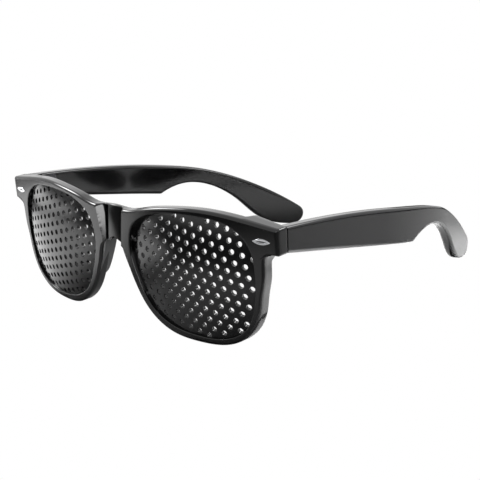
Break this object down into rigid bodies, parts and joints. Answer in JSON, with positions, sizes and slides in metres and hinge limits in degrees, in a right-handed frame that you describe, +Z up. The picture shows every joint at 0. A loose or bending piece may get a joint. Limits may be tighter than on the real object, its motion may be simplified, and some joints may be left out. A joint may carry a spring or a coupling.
{
  "type": "pinhole glasses",
  "caption": "Black plastic glasses with opaque pinhole lenses, moulded nose pads and two folding temples on metal hinges.",
  "frame": {"origin": "middle of the footprint of the open glasses, on the surface that the rim bottoms and the ear tips rest on", "axes": "+X towards the wearer's left, which is the picture's right; +Y from the front back along the temples; +Z up"},
  "size_m": [0.144, 0.155, 0.0469],
  "materials": {
    "frame_plastic": "polished black injection-moulded plastic",
    "lens_plastic": "opaque black sheet with punched holes",
    "hinge_steel": "plain nickel-plated steel",
    "inlay_metal": "bright plated metal with a dark sunk slot"
  },
  "bodies": {
    "front": {"front_frame": "frame_plastic", "left_lens": "lens_plastic", "right_lens": "lens_plastic", "left_front_hinge": "hinge_steel", "right_front_hinge": "hinge_steel", "left_hinge_screw": "hinge_steel", "right_hinge_screw": "hinge_steel", "left_front_inlay": "inlay_metal", "right_front_inlay": "inlay_metal"},
    "left_temple": {"left_temple": "frame_plastic", "left_temple_hinge": "hinge_steel"},
    "right_temple": {"right_temple": "frame_plastic", "right_temple_hinge": "hinge_steel"}
  },
  "joints": [
    {"name": "left_temple_fold", "type": "hinge", "parent": "front", "child": "left_temple", "pos_m": [-0.0663, -0.06202, 0.0397], "axis": [0, 0, -1], "range_deg": [0, 80]},
    {"name": "right_temple_fold", "type": "hinge", "parent": "front", "child": "right_temple", "pos_m": [0.0663, -0.06202, 0.0397], "axis": [0, 0, 1], "range_deg": [0, 70]}
  ]
}
